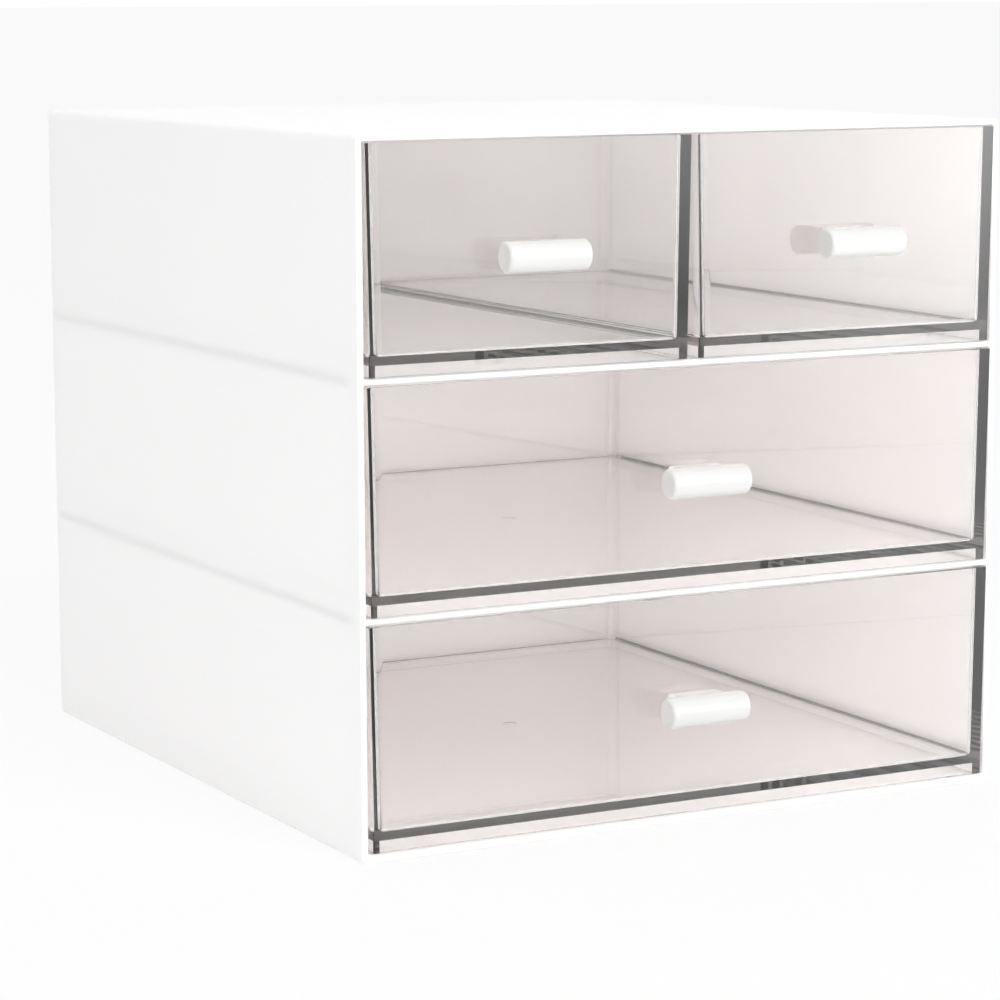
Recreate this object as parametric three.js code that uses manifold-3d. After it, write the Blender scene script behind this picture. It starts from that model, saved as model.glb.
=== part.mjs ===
// Desktop make-up organizer: a white case with three rows of clear drawers, two small ones on top.
// Millimetres, +Z up, +X to the right, drawers open towards -Y.
// The origin is the centre of the case's flat underside.

import * as THREE from 'three';
import { mergeVertices } from 'three/addons/utils/BufferGeometryUtils.js';
import Module from 'manifold-3d';

const wasm = await Module();
wasm.setup();

// Outside of the case
const caseWidth = 152.4;
const caseDepth = 167.6;
const caseHeight = 144.8;
const caseEdgeRadius = 0.9;

// Case walls and the panels slid into them
const sideWall = 1.3;
const topWall = 1.3;
const baseWall = 1.8;
const backPanelThickness = 1.3;
const shelfThickness = 1.4;
const rowCount = 3;

// Grooves that hold the panels
const grooveDepth = 0.6;
const grooveFrontStop = 5;
const panelSlip = 0.1;

// Drawer mouldings
const drawerLength = 162.5;
const drawerWall = 1.6;
const drawerFloor = 1.6;
const drawerSkirt = 2.3;
const drawerOuterRadius = 0.35;
const drawerInnerRadius = 1.8;
const sideDraftShare = 0.0175;
const backDraftShare = 0.0175;

// Running gaps round a closed drawer
const drawerSideGap = 0.2;
const smallDrawerGap = 1.2;
const drawerTopGap = 0.3;
const drawerRunnerGap = 0.2;
const drawerProtrusion = 0.6;

// Bar handles and the oblong feet that they stand on
const barLength = 18.6;
const barRadius = 3.15;
const barEndRadius = 0.7;
const barReach = 5.4;
const footWidth = 13;
const footHeight = 5.8;
const footCornerRadius = 1.4;
const seatGap = 0.05;

// Pan-head screws that hold the handles from inside the drawers
const screwRadius = 1.3;
const screwGrip = 4.6;
const screwTipLength = 0.8;
const screwTipRadius = 0.6;
const screwHeadRadius = 2.3;
const screwHeadHeight = 1.6;
const screwHeadCrown = 0.6;
const recessLength = 2.6;
const recessWidth = 0.6;
const recessDepth = 0.8;
const screwClearance = 0.1;
const boreSpare = 0.4;

// Working values for the meshes
const cutOverrun = 1;
const cornerSegments = 2;
const roundSegments = 32;
const endSegments = 4;

// Sizes worked out from the driving ones
const innerWidth = caseWidth - 2 * sideWall;
const shelvesHeight = (rowCount - 1) * shelfThickness;
const rowHeight = (caseHeight - baseWall - topWall - shelvesHeight) / rowCount;
const rowPitch = rowHeight + shelfThickness;
const frontY = -caseDepth / 2;
const backY = caseDepth / 2;
const backPanelFaceY = backY - backPanelThickness;
const drawerHeight = rowHeight - drawerTopGap - drawerRunnerGap;
const fullDrawerWidth = innerWidth - 2 * drawerSideGap;
const smallDrawerWidth = (fullDrawerWidth - smallDrawerGap) / 2;
const smallDrawerX = (smallDrawerWidth + smallDrawerGap) / 2;
const handleHeight = drawerHeight / 2;
const screwHoleRadius = screwRadius + screwClearance;

const whitePlastic = makeWhitePlastic();
const smokyPlastic = makeSmokyPlastic();
const handlePlastic = makeHandlePlastic();
const zincSteel = makeZincSteel();

function makeWhitePlastic() {
  return new THREE.MeshStandardMaterial({ color: 0xf3f2f1, roughness: 0.32, metalness: 0 });
}

function makeSmokyPlastic() {
  const look = { color: 0xd6cdcb, roughness: 0.06, metalness: 0, transparent: true, opacity: 0.5 };
  return new THREE.MeshStandardMaterial(look);
}

function makeHandlePlastic() {
  return new THREE.MeshStandardMaterial({ color: 0xf8f8f7, roughness: 0.15, metalness: 0 });
}

function makeZincSteel() {
  return new THREE.MeshStandardMaterial({ color: 0xc9cccf, roughness: 0.3, metalness: 1 });
}

// A closed mesh as a solid that can be joined and cut
function toSolid(geometry) {
  const bare = geometry.clone();
  bare.deleteAttribute('normal');
  bare.deleteAttribute('uv');
  const merged = mergeVertices(bare);
  const vertProperties = new Float32Array(merged.attributes.position.array);
  const triVerts = new Uint32Array(merged.index.array);
  return new wasm.Manifold(new wasm.Mesh({ numProp: 3, vertProperties, triVerts }));
}

function toGeometry(solid) {
  const mesh = solid.getMesh();
  const geometry = new THREE.BufferGeometry();
  geometry.setAttribute('position', new THREE.BufferAttribute(mesh.vertProperties, mesh.numProp));
  geometry.setIndex(new THREE.BufferAttribute(mesh.triVerts, 1));
  geometry.computeVertexNormals();
  return geometry;
}

function block(lowX, highX, lowY, highY, lowZ, highZ) {
  const geometry = new THREE.BoxGeometry(highX - lowX, highY - lowY, highZ - lowZ);
  geometry.translate((lowX + highX) / 2, (lowY + highY) / 2, (lowZ + highZ) / 2);
  return toSolid(geometry);
}

// A rectangle with round corners, from (-width/2, 0) to (width/2, length)
function roundedOutline(width, length, radius) {
  const half = width / 2;
  const outline = new THREE.Shape();
  outline.moveTo(-half + radius, 0);
  outline.absarc(half - radius, radius, radius, -Math.PI / 2, 0, false);
  outline.absarc(half - radius, length - radius, radius, 0, Math.PI / 2, false);
  outline.absarc(-half + radius, length - radius, radius, Math.PI / 2, Math.PI, false);
  outline.absarc(-half + radius, radius, radius, Math.PI, 1.5 * Math.PI, false);
  return outline;
}

function extrude(outline, depth) {
  const settings = { depth, bevelEnabled: false, curveSegments: cornerSegments };
  return new THREE.ExtrudeGeometry(outline, settings);
}

// A round bar along Z that starts at the origin
function roundBar(radius, length) {
  const geometry = new THREE.CylinderGeometry(radius, radius, length, roundSegments);
  geometry.rotateX(Math.PI / 2);
  geometry.translate(0, 0, length / 2);
  return geometry;
}

function shelfLevel(row) {
  return baseWall + row * rowPitch - shelfThickness;
}

// Outer sleeve: top, base and both sides in one moulding, open at the front and back
function makeCaseShell() {
  const outline = roundedOutline(caseWidth, caseHeight, caseEdgeRadius);
  const outside = extrude(outline, caseDepth);
  outside.rotateX(Math.PI / 2);
  outside.translate(0, backY, 0);
  const half = innerWidth / 2;
  const roof = caseHeight - topWall;
  const openFront = frontY - cutOverrun;
  const openBack = backY + cutOverrun;
  let shell = toSolid(outside).subtract(block(-half, half, openFront, openBack, baseWall, roof));
  const rebate = block(
    -half - grooveDepth, half + grooveDepth,
    backPanelFaceY - panelSlip, openBack,
    baseWall - grooveDepth, roof + grooveDepth,
  );
  shell = shell.subtract(rebate);
  for (let row = 1; row < rowCount; row += 1) {
    const low = shelfLevel(row) - panelSlip;
    const high = shelfLevel(row) + shelfThickness + panelSlip;
    const grooveStart = frontY + grooveFrontStop;
    shell = shell.subtract(
      block(-half - grooveDepth, half + grooveDepth, grooveStart, openBack, low, high),
    );
  }
  return toGeometry(shell);
}

// Back panel, let into a rebate round the back of the sleeve
function makeBackPanel() {
  const half = innerWidth / 2 + grooveDepth - panelSlip;
  const low = baseWall - grooveDepth + panelSlip;
  const high = caseHeight - topWall + grooveDepth - panelSlip;
  return toGeometry(block(-half, half, backPanelFaceY, backY, low, high));
}

// Shelf panel, flush with the front, its edges in the side grooves behind the front stop
function makeShelf() {
  const neck = innerWidth / 2 - panelSlip;
  const wide = neck + grooveDepth;
  const shoulder = frontY + grooveFrontStop + panelSlip;
  const end = backPanelFaceY - 2 * panelSlip;
  const outline = new THREE.Shape();
  outline.moveTo(-neck, frontY);
  outline.lineTo(neck, frontY);
  outline.lineTo(neck, shoulder);
  outline.lineTo(wide, shoulder);
  outline.lineTo(wide, end);
  outline.lineTo(-wide, end);
  outline.lineTo(-wide, shoulder);
  outline.lineTo(-neck, shoulder);
  outline.closePath();
  return toGeometry(toSolid(extrude(outline, shelfThickness)));
}

// A block of drawer draft, narrower at the bottom, set in by one distance on all four sides
function draftedBlock(width, inset, radius, bottom, top) {
  const drop = drawerHeight - top;
  const topWidth = width - 2 * sideDraftShare * drop - 2 * inset;
  const topLength = drawerLength - backDraftShare * drop - 2 * inset;
  const geometry = extrude(roundedOutline(topWidth, topLength, radius), top - bottom);
  const position = geometry.attributes.position;
  for (let i = 0; i < position.count; i += 1) {
    const below = top - bottom - position.getZ(i);
    position.setX(i, position.getX(i) * (1 - (2 * sideDraftShare * below) / topWidth));
    position.setY(i, position.getY(i) * (1 - (backDraftShare * below) / topLength));
  }
  geometry.translate(0, inset, bottom);
  return toSolid(geometry);
}

// Clear drawer: open box with a raised floor and a skirt below it that runs on the shelf
function makeDrawer(width) {
  const floorTop = drawerSkirt + drawerFloor;
  const mouth = drawerHeight + cutOverrun;
  const body = draftedBlock(width, 0, drawerOuterRadius, 0, drawerHeight);
  const inside = draftedBlock(width, drawerWall, drawerInnerRadius, floorTop, mouth);
  const underside = draftedBlock(width, drawerWall, drawerOuterRadius, -cutOverrun, drawerSkirt);
  const hole = roundBar(screwHoleRadius, drawerWall + 2 * cutOverrun);
  hole.rotateX(-Math.PI / 2);
  hole.translate(0, -cutOverrun, handleHeight);
  return toGeometry(body.subtract(inside).subtract(underside).subtract(toSolid(hole)));
}

// Profile of the round bar with softened ends, turned about its own axis
function barProfile() {
  const half = barLength / 2;
  const points = [new THREE.Vector2(0, -half)];
  for (let step = 0; step <= endSegments; step += 1) {
    const angle = (step / endSegments) * (Math.PI / 2);
    const radius = barRadius - barEndRadius + barEndRadius * Math.sin(angle);
    points.push(new THREE.Vector2(radius, -half + barEndRadius * (1 - Math.cos(angle))));
  }
  const upper = points.map((point) => new THREE.Vector2(point.x, -point.y));
  return points.concat(upper.reverse());
}

// Bar handle with an oblong foot that meets the drawer front and takes the screw
function makeHandle() {
  const bar = new THREE.LatheGeometry(barProfile(), roundSegments);
  bar.rotateZ(Math.PI / 2);
  bar.translate(0, -barReach, 0);
  const footOutline = roundedOutline(footWidth, footHeight, footCornerRadius);
  const foot = extrude(footOutline, barReach - seatGap);
  foot.rotateX(Math.PI / 2);
  foot.translate(0, -seatGap, -footHeight / 2);
  const boreLength = screwGrip + boreSpare + cutOverrun;
  const bore = roundBar(screwHoleRadius, boreLength);
  bore.rotateX(Math.PI / 2);
  bore.translate(0, cutOverrun, 0);
  return toGeometry(toSolid(bar).add(toSolid(foot)).subtract(toSolid(bore)));
}

// Profile of the screw from its tip to the crown of its pan head
function screwProfile() {
  const shank = screwGrip + drawerWall + seatGap;
  const rim = shank + screwHeadHeight - screwHeadCrown;
  return [
    new THREE.Vector2(0, 0),
    new THREE.Vector2(screwTipRadius, 0),
    new THREE.Vector2(screwRadius, screwTipLength),
    new THREE.Vector2(screwRadius, shank),
    new THREE.Vector2(screwHeadRadius, shank),
    new THREE.Vector2(screwHeadRadius, rim),
    new THREE.Vector2(screwHeadRadius - screwHeadCrown, shank + screwHeadHeight),
    new THREE.Vector2(0, shank + screwHeadHeight),
  ];
}

// Pan-head screw with a cross recess, its tip towards the bar
function makeScrew() {
  const geometry = new THREE.LatheGeometry(screwProfile(), roundSegments);
  geometry.translate(0, -screwGrip, 0);
  const crown = drawerWall + seatGap + screwHeadHeight;
  const longHalf = recessLength / 2;
  const thinHalf = recessWidth / 2;
  const low = crown - recessDepth;
  const high = crown + cutOverrun;
  const across = block(-longHalf, longHalf, low, high, -thinHalf, thinHalf);
  const upright = block(-thinHalf, thinHalf, low, high, -longHalf, longHalf);
  return toGeometry(toSolid(geometry).subtract(across.add(upright)));
}

function named(name, geometry, material) {
  const mesh = new THREE.Mesh(geometry, material);
  mesh.name = name;
  return mesh;
}

// One drawer with its handle and screw, placed in its bay
function drawerAssembly(place, width, centreX, row) {
  const assembly = new THREE.Group();
  const handle = named(`handle_${place}`, makeHandle(), handlePlastic);
  const screw = named(`handle_screw_${place}`, makeScrew(), zincSteel);
  handle.position.z = handleHeight;
  screw.position.z = handleHeight;
  assembly.add(named(`drawer_${place}`, makeDrawer(width), smokyPlastic));
  assembly.add(handle);
  assembly.add(screw);
  const floorLevel = baseWall + row * rowPitch;
  assembly.position.set(centreX, frontY - drawerProtrusion, floorLevel + drawerRunnerGap);
  return assembly;
}

function caseAssembly() {
  const assembly = new THREE.Group();
  assembly.add(named('case_shell', makeCaseShell(), whitePlastic));
  assembly.add(named('case_back_panel', makeBackPanel(), whitePlastic));
  const shelfNames = ['shelf_lower', 'shelf_upper'];
  shelfNames.forEach((name, index) => {
    const shelf = named(name, makeShelf(), whitePlastic);
    shelf.position.z = shelfLevel(index + 1);
    assembly.add(shelf);
  });
  return assembly;
}

const organizer = new THREE.Group();
organizer.add(caseAssembly());
organizer.add(drawerAssembly('bottom', fullDrawerWidth, 0, 0));
organizer.add(drawerAssembly('middle', fullDrawerWidth, 0, 1));
organizer.add(drawerAssembly('top_left', smallDrawerWidth, -smallDrawerX, 2));
organizer.add(drawerAssembly('top_right', smallDrawerWidth, smallDrawerX, 2));

export default organizer;
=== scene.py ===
import math

import bmesh
import bpy
from mathutils import Matrix, Vector


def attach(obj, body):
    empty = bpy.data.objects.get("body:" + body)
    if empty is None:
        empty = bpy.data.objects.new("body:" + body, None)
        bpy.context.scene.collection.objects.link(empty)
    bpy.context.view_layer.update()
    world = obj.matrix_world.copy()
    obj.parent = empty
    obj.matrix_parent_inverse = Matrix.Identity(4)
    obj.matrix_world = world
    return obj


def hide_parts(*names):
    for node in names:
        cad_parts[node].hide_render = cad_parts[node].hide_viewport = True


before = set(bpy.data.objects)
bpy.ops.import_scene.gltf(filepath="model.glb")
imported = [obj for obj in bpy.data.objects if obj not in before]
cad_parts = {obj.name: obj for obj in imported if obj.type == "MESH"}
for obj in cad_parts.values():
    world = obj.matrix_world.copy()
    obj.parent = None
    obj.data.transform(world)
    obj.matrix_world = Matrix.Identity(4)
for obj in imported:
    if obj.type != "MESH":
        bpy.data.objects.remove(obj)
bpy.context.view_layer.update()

# Desktop make-up organizer: white moulded case, four clear smoky drawers with white bar handles.
# Sizes are in millimetres and repeat those of the CAD model; MM turns them into metres.
MM = 0.001

# Case
CASE_WIDTH, CASE_DEPTH, CASE_HEIGHT = 152.4, 167.6, 144.8
SIDE_WALL, TOP_WALL, BASE_WALL = 1.3, 1.3, 1.8
BACK_PANEL = 1.3
SHELF = 1.4
GROOVE = 0.6
GROOVE_STOP = 5.0
SLIP = 0.1
ROWS = 3
CASE_CORNER, CASE_RIM, PANEL_EDGE, SHELF_EDGE = 0.9, 0.22, 0.3, 0.35

# Drawers
DRAWER_LENGTH = 162.5
WALL = 1.6
FLOOR = 1.6
SKIRT = 2.3
DRAFT = 0.0175
SIDE_GAP, TOP_GAP, RUNNER_GAP = 0.2, 0.3, 0.2
SMALL_GAP = 1.2
PROTRUSION = 0.6
FRONT_CORNER, REAR_CORNER, INNER_CORNER = 0.35, 3.0, 1.8
FLOOR_FILLET, RIM_EDGE, SKIRT_EDGE = 0.9, 0.3, 0.2
GATE_RADIUS, GATE_DEPTH = 1.6, 0.25

# Handles
BAR_LENGTH, BAR_RADIUS, BAR_REACH, BAR_END = 18.6, 3.15, 5.4, 0.7
FOOT_WIDTH, FOOT_HEIGHT, FOOT_CORNER, FOOT_EDGE = 13.0, 5.8, 1.4, 0.2
SEAT_GAP = 0.05

# Screws
SCREW_RADIUS, SCREW_GRIP = 1.3, 4.6
SCREW_CLEARANCE = 0.1
BORE_SPARE = 0.4
CORE_RADIUS, TIP_LENGTH, TIP_SHARE = 0.95, 0.4, 0.6
THREAD_PITCH, FLANK, CREST, ROOT = 0.9, 0.25, 0.1, 0.3
HEAD_RADIUS, HEAD_HEIGHT, HEAD_EDGE = 2.3, 1.6, 0.15
RECESS_REACH, RECESS_HALF, RECESS_DEPTH, RECESS_SHARE = 1.3, 0.3, 0.8, 0.6

# Cutters run past the faces that they cut by this much.
OVERRUN = 1.0
# A face looks along an axis if its normal's part along that axis is more than this.
FACING = 0.9

# Places that follow from those sizes
HOLE_RADIUS = SCREW_RADIUS + SCREW_CLEARANCE
INNER_WIDTH = CASE_WIDTH - 2 * SIDE_WALL
ROW_HEIGHT = (CASE_HEIGHT - BASE_WALL - TOP_WALL - (ROWS - 1) * SHELF) / ROWS
ROW_PITCH = ROW_HEIGHT + SHELF
FRONT = -CASE_DEPTH / 2
BACK = CASE_DEPTH / 2
ROOF = CASE_HEIGHT - TOP_WALL
DRAWER_FRONT = FRONT - PROTRUSION
DRAWER_HEIGHT = ROW_HEIGHT - TOP_GAP - RUNNER_GAP
FULL_WIDTH = INNER_WIDTH - 2 * SIDE_GAP
SMALL_WIDTH = (FULL_WIDTH - SMALL_GAP) / 2
SMALL_X = (SMALL_WIDTH + SMALL_GAP) / 2


def row_floor(row):
    """Height of the surface that the drawers of a row run on."""
    return BASE_WALL + row * ROW_PITCH


# Shaping tools


def work_on(piece):
    """Makes this piece the only one selected, and the active one."""
    bpy.ops.object.select_all(action="DESELECT")
    piece.select_set(True)
    bpy.context.view_layer.objects.active = piece


def block(name, low, high):
    """A cuboid between two corners, the start of a moulded piece or a cutter."""
    bpy.ops.object.select_all(action="DESELECT")
    size = [(b - a) * MM for a, b in zip(low, high)]
    centre = [(a + b) / 2 * MM for a, b in zip(low, high)]
    bpy.ops.mesh.primitive_cube_add(size=1, location=centre, scale=size)
    return settle(name)


def rod(name, centre, radius, length, axis, sides=48):
    """A round bar along X, Y or Z about its centre."""
    bpy.ops.object.select_all(action="DESELECT")
    turn = {"X": (0, math.pi / 2, 0), "Y": (math.pi / 2, 0, 0), "Z": (0, 0, 0)}[axis]
    bpy.ops.mesh.primitive_cylinder_add(
        vertices=sides,
        radius=radius * MM,
        depth=length * MM,
        location=[c * MM for c in centre],
        rotation=turn,
    )
    return settle(name)


def settle(name):
    """Names the new piece and puts its place, turn and size into its mesh."""
    piece = bpy.context.object
    piece.name = piece.data.name = name
    bpy.ops.object.transform_apply(location=True, rotation=True, scale=True)
    return piece


def edit(piece, mode):
    """Opens one piece in edit mode, with vertices, edges or faces to select."""
    work_on(piece)
    bpy.ops.object.mode_set(mode="EDIT")
    bpy.ops.mesh.select_mode(type=mode)


def done():
    """Goes back to object mode."""
    bpy.ops.object.mode_set(mode="OBJECT")


def pick_faces(piece, wanted):
    """Selects the faces whose middle (in mm) and normal the test wants."""
    bpy.ops.mesh.select_mode(type="FACE")
    bpy.ops.mesh.select_all(action="DESELECT")
    shape = bmesh.from_edit_mesh(piece.data)
    for face in shape.faces:
        face.select_set(bool(wanted(face.calc_center_median() / MM, face.normal)))
    bmesh.update_edit_mesh(piece.data)


def pick_edges(piece, wanted):
    """Selects the edges whose two ends (in mm) the test wants."""
    bpy.ops.mesh.select_mode(type="EDGE")
    bpy.ops.mesh.select_all(action="DESELECT")
    shape = bmesh.from_edit_mesh(piece.data)
    for edge in shape.edges:
        a, b = (v.co / MM for v in edge.verts)
        edge.select_set(bool(wanted(a, b)))
    bmesh.update_edit_mesh(piece.data)


def near(a, b, slack=0.02):
    """Whether two lengths are the same, apart from rounding."""
    return abs(a - b) < slack


def shift(y=0.0, z=0.0):
    """Moves what is selected."""
    bpy.ops.transform.translate(value=(0.0, y * MM, z * MM))


def widen(share, centre_x):
    """Scales what is selected across the drawer, about its middle."""
    bpy.ops.transform.resize(value=(share, 1, 1), center_override=(centre_x * MM, 0, 0))


def round_off(radius, steps):
    """Rounds the selected edges."""
    bpy.ops.mesh.bevel(
        offset=radius * MM, offset_type="OFFSET", segments=steps, affect="EDGES", clamp_overlap=True
    )


def cut(piece, tool, operation="DIFFERENCE"):
    """Cuts the tool's shape out of the piece, or joins it on, and removes the tool."""
    work_on(piece)
    step = piece.modifiers.new("cut", "BOOLEAN")
    step.operation = operation
    step.solver = "EXACT"
    step.object = tool
    bpy.ops.object.modifier_apply(modifier=step.name)
    bpy.data.objects.remove(tool, do_unlink=True)


def smooth(piece, degrees=32):
    """Merges doubles, turns all faces outwards and shades the roundings evenly."""
    edit(piece, "VERT")
    bpy.ops.mesh.select_all(action="SELECT")
    bpy.ops.mesh.remove_doubles(threshold=0.000001)
    bpy.ops.mesh.normals_make_consistent(inside=False)
    done()
    bpy.ops.object.shade_smooth_by_angle(angle=math.radians(degrees))
    step = piece.modifiers.new("even_shading", "WEIGHTED_NORMAL")
    step.keep_sharp = True
    step.weight = 90
    bpy.ops.object.modifier_apply(modifier=step.name)


def copy_of(piece, name, x=0.0, z=0.0):
    """A copy with its own mesh, moved, its place in its mesh."""
    twin = piece.copy()
    twin.data = piece.data.copy()
    twin.name = twin.data.name = name
    bpy.context.collection.objects.link(twin)
    work_on(twin)
    twin.location = (x * MM, 0.0, z * MM)
    bpy.ops.object.transform_apply(location=True, rotation=True, scale=True)
    return twin


# Finishes


def colour(hex_value):
    """The opaque linear colour of an sRGB value such as #FFFFFF."""
    parts = [int(hex_value[i : i + 2], 16) / 255 for i in (1, 3, 5)]
    linear = [p / 12.92 if p <= 0.04045 else ((p + 0.055) / 1.055) ** 2.4 for p in parts]
    return (*linear, 1.0)


def node(tree, kind, sockets=None, **settings):
    """Adds a node, with its settings, its socket values and its links."""
    made = tree.nodes.new(kind)
    for name, value in settings.items():
        setattr(made, name, value)
    for name, value in (sockets or {}).items():
        if isinstance(value, bpy.types.NodeSocket):
            tree.links.new(value, made.inputs[name])
        else:
            made.inputs[name].default_value = value
    return made


def new_material(name):
    """An empty material and its node tree."""
    material = bpy.data.materials.new(name)
    material.use_nodes = True
    material.node_tree.nodes.clear()
    return material, material.node_tree


def moulded_white_polystyrene():
    """White polystyrene off a polished mould: satin gloss, and thin enough to let some light in."""
    material, tree = new_material("moulded_white_polystyrene")
    place = node(tree, "ShaderNodeTexCoord").outputs["Object"]
    # Pigment clouds from the melt's flow, about 45 mm across, hardly visible.
    clouds = node(tree, "ShaderNodeTexNoise", {"Vector": place, "Scale": 1 / 0.045, "Detail": 2.0})
    paint = node(tree, "ShaderNodeMix", {"Factor": clouds.outputs["Fac"]}, data_type="RGBA")
    paint.inputs["A"].default_value = colour("#FFFCFB")
    paint.inputs["B"].default_value = colour("#FEFBFA")
    # Handling dulls the polish in patches of about 9 mm.
    wear = node(tree, "ShaderNodeTexNoise", {"Vector": place, "Scale": 1 / 0.009, "Detail": 3.0})
    gloss = node(
        tree,
        "ShaderNodeMapRange",
        {"Value": wear.outputs["Fac"], "From Min": 0.2, "From Max": 0.8, "To Min": 0.276, "To Max": 0.284},
    )
    skin = node(
        tree,
        "ShaderNodeBsdfPrincipled",
        {
            "Base Color": paint.outputs["Result"],
            "Roughness": gloss.outputs["Result"],
            "IOR": 1.59,
            "Subsurface Weight": 1.0,
            "Subsurface Radius": (1.0, 1.0, 1.0),
            "Subsurface Scale": 0.0012,
        },
    )
    node(tree, "ShaderNodeOutputMaterial", {"Surface": skin.outputs["BSDF"]})
    return material


def smoky_clear_polystyrene():
    """Crystal polystyrene with a trace of grey dye: clear across a wall, dark along it."""
    material, tree = new_material("smoky_clear_polystyrene")
    # The share of light that one wall lets through. The dye is the same all through, so
    # light that runs along a wall or the floor is swallowed, and edges look dark grey.
    through_wall = 0.9875
    dye = -math.log(through_wall) / (WALL * MM)
    place = node(tree, "ShaderNodeTexCoord").outputs["Object"]
    # Flow of the melt leaves waves of about 40 mm that bend reflections a little.
    flow = node(tree, "ShaderNodeTexNoise", {"Vector": place, "Scale": 1 / 0.04, "Detail": 1.0})
    relief = node(
        tree,
        "ShaderNodeBump",
        {"Height": flow.outputs["Fac"], "Strength": 0.04, "Distance": 0.00006},
    )
    # Fingertips leave patches of about 15 mm where the polish is a little softer.
    touch = node(tree, "ShaderNodeTexNoise", {"Vector": place, "Scale": 1 / 0.015, "Detail": 2.0})
    polish = node(
        tree,
        "ShaderNodeMapRange",
        {"Value": touch.outputs["Fac"], "From Min": 0.45, "From Max": 0.75, "To Min": 0.0, "To Max": 0.01},
    )
    clear = node(
        tree,
        "ShaderNodeBsdfPrincipled",
        {
            "Base Color": colour("#FFFFFF"),
            "Roughness": polish.outputs["Result"],
            "IOR": 1.59,
            "Transmission Weight": 1.0,
            "Normal": relief.outputs["Normal"],
        },
    )
    inside = node(
        tree,
        "ShaderNodeVolumeAbsorption",
        {"Color": (0.0, 0.0, 0.0, 1.0), "Density": dye},
    )
    node(
        tree,
        "ShaderNodeOutputMaterial",
        {"Surface": clear.outputs["BSDF"], "Volume": inside.outputs["Volume"]},
    )
    return material


def glossy_white_abs():
    """White ABS off a mirror mould: bright and slick, with soft highlights."""
    material, tree = new_material("glossy_white_abs")
    place = node(tree, "ShaderNodeTexCoord").outputs["Object"]
    clouds = node(tree, "ShaderNodeTexNoise", {"Vector": place, "Scale": 1 / 0.008, "Detail": 2.0})
    paint = node(tree, "ShaderNodeMix", {"Factor": clouds.outputs["Fac"]}, data_type="RGBA")
    paint.inputs["A"].default_value = colour("#E5E5E4")
    paint.inputs["B"].default_value = colour("#E1E1E0")
    # Fingers polish and dull the bar in patches of about 3 mm.
    touch = node(tree, "ShaderNodeTexNoise", {"Vector": place, "Scale": 1 / 0.003, "Detail": 2.0})
    gloss = node(
        tree,
        "ShaderNodeMapRange",
        {"Value": touch.outputs["Fac"], "From Min": 0.3, "From Max": 0.7, "To Min": 0.10, "To Max": 0.18},
    )
    skin = node(
        tree,
        "ShaderNodeBsdfPrincipled",
        {"Base Color": paint.outputs["Result"], "Roughness": gloss.outputs["Result"], "IOR": 1.54},
    )
    node(tree, "ShaderNodeOutputMaterial", {"Surface": skin.outputs["BSDF"]})
    return material


def zinc_plated_steel():
    """Bright zinc on a rolled screw: cool grey metal with a fine plating grain."""
    material, tree = new_material("zinc_plated_steel")
    place = node(tree, "ShaderNodeTexCoord").outputs["Object"]
    # Plating grain of about 0.4 mm.
    grain = node(tree, "ShaderNodeTexNoise", {"Vector": place, "Scale": 1 / 0.0004, "Detail": 2.0})
    paint = node(tree, "ShaderNodeMix", {"Factor": grain.outputs["Fac"]}, data_type="RGBA")
    paint.inputs["A"].default_value = colour("#CED1D4")
    paint.inputs["B"].default_value = colour("#BEC1C5")
    gloss = node(
        tree,
        "ShaderNodeMapRange",
        {"Value": grain.outputs["Fac"], "From Min": 0.3, "From Max": 0.7, "To Min": 0.2, "To Max": 0.34},
    )
    skin = node(
        tree,
        "ShaderNodeBsdfPrincipled",
        {"Base Color": paint.outputs["Result"], "Roughness": gloss.outputs["Result"], "Metallic": 1.0},
    )
    node(tree, "ShaderNodeOutputMaterial", {"Surface": skin.outputs["BSDF"]})
    return material


FINISHES = {
    "white_plastic": moulded_white_polystyrene(),
    "smoky_clear_plastic": smoky_clear_polystyrene(),
    "handle_plastic": glossy_white_abs(),
    "screw_steel": zinc_plated_steel(),
}


def fit(piece, node_name, body, slot):
    """Gives the piece its finish and its body, and hides the CAD node that it stands for."""
    piece.data.materials.clear()
    piece.data.materials.append(FINISHES[slot])
    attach(piece, body)
    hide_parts(node_name)


# The white case


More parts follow.
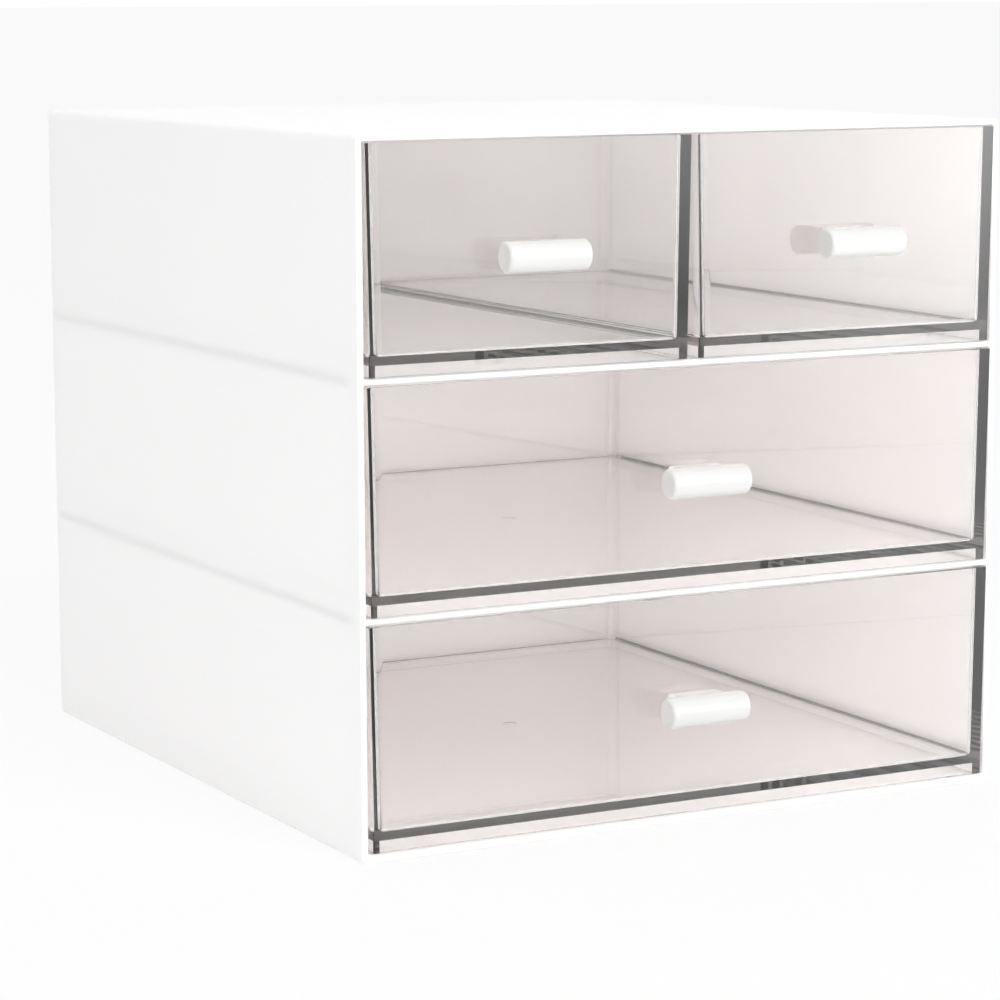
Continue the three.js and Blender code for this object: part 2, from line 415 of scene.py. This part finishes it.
def sleeve():
    """Top, base and both sides in one moulding, open at the front and back."""
    half, inner = CASE_WIDTH / 2, INNER_WIDTH / 2
    piece = block("case_sleeve", (-half, FRONT, 0), (half, BACK, CASE_HEIGHT))
    edit(piece, "FACE")
    pick_faces(piece, lambda c, n: abs(n.y) > FACING)
    bpy.ops.mesh.inset(thickness=SIDE_WALL * MM, use_even_offset=True, use_individual=True)
    bpy.ops.mesh.delete(type="FACE")

    def inside(p):
        """Whether a corner belongs to the opening, and not to the outline."""
        return abs(p.x) < half - SIDE_WALL / 2 and SIDE_WALL / 2 < p.z < CASE_HEIGHT - SIDE_WALL / 2

    pick_edges(piece, lambda a, b: inside(a) and inside(b))
    bpy.ops.mesh.bridge_edge_loops()
    # The base is thicker than the other walls.
    pick_edges(piece, lambda a, b: all(inside(p) and p.z < CASE_HEIGHT / 2 for p in (a, b)))
    shift(z=BASE_WALL - SIDE_WALL)
    # Round outer corners along the depth, soft rims in front and behind.
    pick_edges(piece, lambda a, b: all(near(abs(p.x), half) for p in (a, b)) and not near(a.y, b.y))
    round_off(CASE_CORNER, 5)
    pick_edges(piece, lambda a, b: any(near(a.y, y) and near(b.y, y) for y in (FRONT, BACK)))
    round_off(CASE_RIM, 3)
    done()
    # Grooves for the panels: a rebate at the back, one groove each side for each shelf.
    rebate_low = (-inner - GROOVE, BACK - BACK_PANEL - SLIP, BASE_WALL - GROOVE)
    rebate_high = (inner + GROOVE, BACK + OVERRUN, ROOF + GROOVE)
    cut(piece, block("cutter", rebate_low, rebate_high))
    for row in range(1, ROWS):
        top = row_floor(row)
        low = (-inner - GROOVE, FRONT + GROOVE_STOP, top - SHELF - SLIP)
        high = (inner + GROOVE, BACK - BACK_PANEL, top + SLIP)
        cut(piece, block("cutter", low, high))
    smooth(piece)
    return piece


def back_panel():
    """Flat panel let into the rebate at the back."""
    half = INNER_WIDTH / 2 + GROOVE - SLIP
    low, high = BASE_WALL - GROOVE + SLIP, ROOF + GROOVE - SLIP
    piece = block("case_back_plate", (-half, BACK - BACK_PANEL, low), (half, BACK, high))
    edit(piece, "EDGE")
    pick_edges(piece, lambda a, b: near(a.y, BACK) and near(b.y, BACK))
    round_off(PANEL_EDGE, 3)
    done()
    smooth(piece)
    return piece


def shelf(row, name):
    """Shelf panel flush with the front, wider behind the front stops of its grooves."""
    top = row_floor(row)
    neck = INNER_WIDTH / 2 - SLIP
    wide = neck + GROOVE
    shoulder = FRONT + GROOVE_STOP + SLIP
    end = BACK - BACK_PANEL - 2 * SLIP
    piece = block(name, (-neck, FRONT, top - SHELF), (neck, end, top))
    edit(piece, "FACE")
    bpy.ops.mesh.select_all(action="SELECT")
    bpy.ops.mesh.bisect(plane_co=(0, shoulder * MM, 0), plane_no=(0, 1, 0))
    for side in (-1, 1):
        pick_faces(piece, lambda c, n: n.x * side > FACING and c.y > shoulder)
        bpy.ops.mesh.extrude_region_move(
            TRANSFORM_OT_translate={"value": (side * (wide - neck) * MM, 0, 0)}
        )
    # The front edge is rounded over, as a moulded or sawn and polished edge is.
    pick_edges(piece, lambda a, b: near(a.y, FRONT) and near(b.y, FRONT) and near(a.z, b.z))
    round_off(SHELF_EDGE, 4)
    done()
    smooth(piece)
    return piece


# The clear drawers


def drawer(name, width, centre_x, row):
    """Open box with drafted walls, a raised floor, filleted corners and a skirt below."""
    base = row_floor(row) + RUNNER_GAP
    rim = base + DRAWER_HEIGHT
    back = DRAWER_FRONT + DRAWER_LENGTH
    half = width / 2
    low = (centre_x - half, DRAWER_FRONT, base)
    piece = block(name, low, (centre_x + half, back, rim))

    def draft(drop, span, back_y, level):
        """Draws the selected level in, as the mould's draft does."""
        widen((span - 2 * DRAFT * drop) / span, centre_x)
        pick_edges(piece, lambda a, b: all(near(p.z, level) and near(p.y, back_y) for p in (a, b)))
        shift(y=-DRAFT * drop)

    edit(piece, "FACE")
    pick_faces(piece, lambda c, n: n.z < -FACING)
    draft(DRAWER_HEIGHT, width, back, base)
    # Inside: down from the rim to the floor.
    pick_faces(piece, lambda c, n: n.z > FACING)
    bpy.ops.mesh.inset(thickness=WALL * MM, use_even_offset=True)
    floor_top = base + SKIRT + FLOOR
    depth = rim - floor_top
    bpy.ops.mesh.extrude_region_move(TRANSFORM_OT_translate={"value": (0, 0, -depth * MM)})
    draft(depth, width - 2 * WALL, back - WALL, floor_top)
    # Underside: a hollow as deep as the skirt.
    pick_faces(piece, lambda c, n: n.z < -FACING and near(c.z, base))
    bpy.ops.mesh.inset(thickness=WALL * MM, use_even_offset=True)
    bpy.ops.mesh.extrude_region_move(TRANSFORM_OT_translate={"value": (0, 0, SKIRT * MM)})

    def upright(a, b):
        """Whether an edge runs from top to bottom."""
        return abs(a.z - b.z) > DRAWER_HEIGHT / 2

    def outer(p, end_y):
        """Whether a point lies on an outer corner, which the draft draws in as it goes down."""
        return near(abs(p.x - centre_x), half - DRAFT * (rim - p.z)) and near(p.y, end_y(rim - p.z))

    # Crisp corners in front, full round ones at the back, and fillets inside.
    for end_y, radius, steps in (
        (lambda drop: DRAWER_FRONT, FRONT_CORNER, 5),
        (lambda drop: back - DRAFT * drop, REAR_CORNER, 10),
    ):
        pick_edges(piece, lambda a, b: upright(a, b) and outer(a, end_y) and outer(b, end_y))
        round_off(radius, steps)
    pick_edges(piece, lambda a, b: upright(a, b) and near(min(a.z, b.z), floor_top))
    round_off(INNER_CORNER, 8)
    # Fillet round the floor, soft rim and skirt edges.
    for level, radius, steps in ((floor_top, FLOOR_FILLET, 5), (rim, RIM_EDGE, 3), (base, SKIRT_EDGE, 2)):
        pick_edges(piece, lambda a, b: near(a.z, level) and near(b.z, level))
        round_off(radius, steps)
    done()
    # Hole for the screw, and the round mark of the mould's gate under the floor.
    hole_middle = (centre_x, DRAWER_FRONT + WALL / 2, base + DRAWER_HEIGHT / 2)
    cut(piece, rod("cutter", hole_middle, HOLE_RADIUS, WALL * 3, "Y"))
    gate_middle = (centre_x, DRAWER_FRONT + DRAWER_LENGTH / 2, base + SKIRT)
    cut(piece, rod("cutter", gate_middle, GATE_RADIUS, 2 * GATE_DEPTH, "Z"))
    smooth(piece)
    return piece


# Handles and screws


def handle(name, centre_x, level):
    """Round bar with softened ends on an oblong foot, bored for its screw."""
    axis_y = DRAWER_FRONT - BAR_REACH
    piece = rod(name, (centre_x, axis_y, level), BAR_RADIUS, BAR_LENGTH, "X", sides=72)
    edit(piece, "EDGE")
    pick_edges(piece, lambda a, b: near(a.x, b.x))
    round_off(BAR_END, 5)
    done()
    face = DRAWER_FRONT - SEAT_GAP
    half, tall = FOOT_WIDTH / 2, FOOT_HEIGHT / 2
    foot = block("foot", (centre_x - half, axis_y, level - tall), (centre_x + half, face, level + tall))
    edit(foot, "EDGE")
    pick_edges(foot, lambda a, b: not near(a.y, b.y))
    round_off(FOOT_CORNER, 6)
    pick_edges(foot, lambda a, b: near(a.y, face) and near(b.y, face))
    round_off(FOOT_EDGE, 2)
    done()
    cut(piece, foot, "UNION")
    depth = SCREW_GRIP + BORE_SPARE
    bore_middle = (centre_x, face - depth / 2 + OVERRUN / 2, level)
    cut(piece, rod("cutter", bore_middle, HOLE_RADIUS, depth + OVERRUN, "Y"))
    smooth(piece, 35)
    return piece


def screw(name, centre_x, level):
    """Self-tapping pan-head screw: ribbed shank, domed head, cross recess."""
    tip_y = DRAWER_FRONT - SCREW_GRIP
    seat_y = DRAWER_FRONT + WALL + SEAT_GAP
    piece = rod(name, (centre_x, tip_y + TIP_LENGTH / 2, level), CORE_RADIUS, TIP_LENGTH, "Y")
    centre = (centre_x * MM, 0, level * MM)

    def step(length, share):
        """Pushes the leading face on by a length and scales it by a share."""
        bpy.ops.mesh.extrude_region_move(TRANSFORM_OT_translate={"value": (0, length * MM, 0)})
        bpy.ops.transform.resize(value=(share, 1, share), center_override=centre)

    edit(piece, "FACE")
    # The tip tapers.
    pick_faces(piece, lambda c, n: n.y < -FACING)
    bpy.ops.transform.resize(value=(TIP_SHARE, 1, TIP_SHARE), center_override=centre)
    # The thread's ridges, drawn as rings.
    pick_faces(piece, lambda c, n: n.y > FACING)
    travelled = TIP_LENGTH
    ridge = SCREW_RADIUS / CORE_RADIUS
    while travelled + THREAD_PITCH < seat_y - tip_y:
        for length, share in ((FLANK, ridge), (CREST, 1.0), (FLANK, 1 / ridge), (ROOT, 1.0)):
            step(length, share)
        travelled += THREAD_PITCH
    step(seat_y - tip_y - travelled, 1.0)
    # Head: out to the rim, up, and over the crown.
    step(0.0, HEAD_RADIUS / CORE_RADIUS)
    for height_share, width_share in ((0.55, 1.0), (0.25, 0.9), (0.14, 0.8), (0.06, 0.6)):
        step(HEAD_HEIGHT * height_share, width_share)

    def seat_rim(p):
        """Whether a point lies on the rim of the head, where it seats."""
        return near(p.y, seat_y) and near(math.hypot(p.x - centre_x, p.z - level), HEAD_RADIUS)

    pick_edges(piece, lambda a, b: seat_rim(a) and seat_rim(b))
    round_off(HEAD_EDGE, 2)
    done()
    # Cross recess, whose slots narrow towards their bottom.
    crown = seat_y + HEAD_HEIGHT
    for wide, tall in ((RECESS_REACH, RECESS_HALF), (RECESS_HALF, RECESS_REACH)):
        low = (centre_x - wide, crown - RECESS_DEPTH, level - tall)
        tool = block("cutter", low, (centre_x + wide, crown + OVERRUN, level + tall))
        edit(tool, "FACE")
        pick_faces(tool, lambda c, n: n.y < -FACING)
        bpy.ops.transform.resize(value=(RECESS_SHARE, 1, RECESS_SHARE), center_override=centre)
        done()
        cut(piece, tool)
    smooth(piece, 30)
    return piece


# Making the organizer

for maker, node_name in (
    (sleeve, "case_shell"),
    (back_panel, "case_back_panel"),
    (lambda: shelf(1, "shelf_panel_lower"), "shelf_lower"),
    (lambda: shelf(2, "shelf_panel_upper"), "shelf_upper"),
):
    fit(maker(), node_name, "case", "white_plastic")

full_drawer = drawer("drawer_box_bottom", FULL_WIDTH, 0, 0)
small_drawer = drawer("drawer_box_top_left", SMALL_WIDTH, -SMALL_X, 2)
handle_level = row_floor(0) + RUNNER_GAP + DRAWER_HEIGHT / 2
first_handle = handle("bar_handle_bottom", 0, handle_level)
first_screw = screw("handle_pan_screw_bottom", 0, handle_level)

boxes = {
    "bottom": full_drawer,
    "middle": copy_of(full_drawer, "drawer_box_middle", z=ROW_PITCH),
    "top_left": small_drawer,
    "top_right": copy_of(small_drawer, "drawer_box_top_right", x=2 * SMALL_X),
}
steps_from_first = {
    "bottom": (0, 0),
    "middle": (0, ROW_PITCH),
    "top_left": (-SMALL_X, 2 * ROW_PITCH),
    "top_right": (SMALL_X, 2 * ROW_PITCH),
}
for place, box in boxes.items():
    x, z = steps_from_first[place]
    body = place + "_drawer"
    bar, pin = first_handle, first_screw
    if place != "bottom":
        bar = copy_of(first_handle, "bar_handle_" + place, x=x, z=z)
        pin = copy_of(first_screw, "handle_pan_screw_" + place, x=x, z=z)
    fit(box, "drawer_" + place, body, "smoky_clear_plastic")
    fit(bar, "handle_" + place, body, "handle_plastic")
    fit(pin, "handle_screw_" + place, body, "screw_steel")


# Camera, floor and light


def aim_camera():
    """The photograph's view, fitted to the six visible corners of the case."""
    place = (-0.36388, -0.68375, 0.17204)
    sensor_width, focal_length = 36, 123.29
    yaw, pitch, roll = math.radians(28.0), math.radians(8.44), math.radians(-0.23)
    ahead = Vector((math.sin(yaw) * math.cos(pitch), math.cos(yaw) * math.cos(pitch), -math.sin(pitch)))
    right = Vector((math.cos(yaw), -math.sin(yaw), 0))
    up = right.cross(ahead)
    tilted_right = right * math.cos(roll) + up * math.sin(roll)
    tilted_up = up * math.cos(roll) - right * math.sin(roll)
    lens = bpy.data.cameras.new("view")
    lens.sensor_width = sensor_width
    lens.lens = focal_length
    camera = bpy.data.objects.new("view", lens)
    bpy.context.collection.objects.link(camera)
    turn = Matrix((tilted_right, tilted_up, -ahead)).transposed().to_4x4()
    camera.matrix_world = Matrix.Translation(place) @ turn
    bpy.context.scene.camera = camera


def shown_rays(tree):
    """1 for rays from the camera and for those that gloss or clear plastic sends on, else 0."""
    path = node(tree, "ShaderNodeLightPath")
    two = node(
        tree,
        "ShaderNodeMath",
        {0: path.outputs["Is Camera Ray"], 1: path.outputs["Is Glossy Ray"]},
        operation="MAXIMUM",
    )
    return node(
        tree,
        "ShaderNodeMath",
        {0: two.outputs[0], 1: path.outputs["Is Transmission Ray"]},
        operation="MAXIMUM",
    ).outputs[0]


def lay_floor():
    """A wide white sheet. Most of what it shows is plain white; the rest keeps the shadow."""
    width, drop, plain_share = 80, 0.0001, 0.8
    bpy.ops.object.select_all(action="DESELECT")
    bpy.ops.mesh.primitive_plane_add(size=width, location=(0, 0, -drop))
    sheet = settle("floor")
    material, tree = new_material("white_sheet")
    lit = node(tree, "ShaderNodeBsdfDiffuse", {"Color": colour("#F2F2F2")})
    plain = node(tree, "ShaderNodeEmission", {"Color": (1, 1, 1, 1), "Strength": 1.0})
    share = node(tree, "ShaderNodeMath", {0: shown_rays(tree), 1: plain_share}, operation="MULTIPLY")
    mixed = node(
        tree,
        "ShaderNodeMixShader",
        {0: share.outputs[0], 1: lit.outputs["BSDF"], 2: plain.outputs["Emission"]},
    )
    node(tree, "ShaderNodeOutputMaterial", {"Surface": mixed.outputs["Shader"]})
    # What it shows lights nothing, so the renderer needn't sample it as a lamp.
    material.cycles.emission_sampling = "NONE"
    sheet.data.materials.append(material)


def light_room():
    """A white tent: even light from all sides, white to look at."""
    world = bpy.data.worlds.new("white_tent")
    world.use_nodes = True
    tree = world.node_tree
    tree.nodes.clear()
    # The tent is brighter behind than it is in front, and evenly so in between.
    way = node(tree, "ShaderNodeTexCoord").outputs["Generated"]
    behind = node(tree, "ShaderNodeVectorMath", {0: way, 1: (0, 1, 0)}, operation="DOT_PRODUCT")
    level = node(
        tree,
        "ShaderNodeMapRange",
        {"Value": behind.outputs["Value"], "From Min": -1.0, "From Max": 1.0, "To Min": 0.62, "To Max": 1.02},
    )
    light = node(tree, "ShaderNodeBackground", {"Color": (1, 1, 1, 1), "Strength": level.outputs["Result"]})
    white = node(tree, "ShaderNodeBackground", {"Color": (1, 1, 1, 1), "Strength": 1.0})
    mixed = node(
        tree,
        "ShaderNodeMixShader",
        {0: shown_rays(tree), 1: light.outputs["Background"], 2: white.outputs["Background"]},
    )
    node(tree, "ShaderNodeOutputWorld", {"Surface": mixed.outputs["Shader"]})
    bpy.context.scene.world = world


def hang_lamp(name, place, target, size, power):
    """A soft square lamp that faces a point; sizes and places in metres, power in watts."""
    lamp = bpy.data.lights.new(name, "AREA")
    lamp.shape = "SQUARE"
    lamp.size = size
    lamp.energy = power
    holder = bpy.data.objects.new(name, lamp)
    bpy.context.collection.objects.link(holder)
    holder.location = place
    holder.rotation_euler = (Vector(target) - Vector(place)).to_track_quat("-Z", "Y").to_euler()


def lying_tone(tree, place):
    """Brightness of the lying card: the floor's, and brighter in a band that slants away from the case."""
    plain, bright = 0.95, 2.5
    # This points straight across the band.
    across = (0.844, 0.537, 0)
    band = node(tree, "ShaderNodeVectorMath", {0: place, 1: across}, operation="DOT_PRODUCT")
    rise, fall = (
        node(
            tree,
            "ShaderNodeMapRange",
            {"Value": band.outputs["Value"], "From Min": a, "From Max": b, "To Min": low, "To Max": high},
            interpolation_type="SMOOTHSTEP",
        )
        for a, b, low, high in ((-0.08, 0.05, plain, bright), (0.08, 0.3, bright, plain))
    )
    both = {0: rise.outputs["Result"], 1: fall.outputs["Result"]}
    return node(tree, "ShaderNodeMath", both, operation="MINIMUM").outputs[0]


def standing_tone(tree, place):
    """Brightness of the standing card: dark to bright, and at its foot that of the lying card."""
    part = node(tree, "ShaderNodeSeparateXYZ", {"Vector": place})
    level = node(
        tree,
        "ShaderNodeMapRange",
        {"Value": part.outputs["X"], "From Min": 0.19, "From Max": 0.46, "To Min": 0.2, "To Max": 7.0},
    )
    rise = node(
        tree,
        "ShaderNodeMapRange",
        {"Value": part.outputs["Z"], "From Min": 0.0, "From Max": 0.16},
        interpolation_type="SMOOTHSTEP",
    )
    blend = node(tree, "ShaderNodeMix", {"Factor": rise.outputs["Result"]}, data_type="FLOAT")
    tree.links.new(lying_tone(tree, place), blend.inputs["A"])
    tree.links.new(level.outputs["Result"], blend.inputs["B"])
    return blend.outputs["Result"]


def put_card(name, place, turn, size, tone):
    """A bright card that is seen only in gloss, as in the drawer fronts. Metres and degrees."""
    bpy.ops.object.select_all(action="DESELECT")
    bpy.ops.mesh.primitive_plane_add(size=1, location=place, rotation=[math.radians(t) for t in turn])
    bpy.context.object.scale = (*size, 1)
    card = settle(name)
    material, tree = new_material(name)
    point = node(tree, "ShaderNodeTexCoord").outputs["Object"]
    shade = node(tree, "ShaderNodeEmission", {"Color": (1, 1, 1, 1), "Strength": tone(tree, point)})
    node(tree, "ShaderNodeOutputMaterial", {"Surface": shade.outputs["Emission"]})
    # The card lights nothing, so the renderer needn't sample it as a lamp.
    material.cycles.emission_sampling = "NONE"
    card.data.materials.append(material)
    card.visible_camera = False
    card.visible_diffuse = False
    card.visible_transmission = False
    card.visible_shadow = False


aim_camera()
lay_floor()
light_room()
put_card("standing_card", (0.42, -0.62, 0.2), (90, 0, 30), (0.9, 0.42), standing_tone)
put_card("lying_card", (0.335, -0.395, 0), (0, 0, 0), (0.83, 0.61), lying_tone)
case_middle = (0, 0, 0.07)
hang_lamp("high_front", (0.2, -1.7, 1.1), case_middle, 1.0, 16)
hang_lamp("low_left", (-1.3, -1.9, 0.45), case_middle, 1.2, 7)
bpy.context.scene.view_settings.view_transform = "Standard"
# Light crosses many clear walls on its way in and out, so it gets sharp glass and many bounces.
paths = bpy.context.scene.cycles
paths.blur_glossy = 0.0
paths.max_bounces = 64
paths.transmission_bounces = 56
paths.diffuse_bounces = 24
paths.glossy_bounces = 24
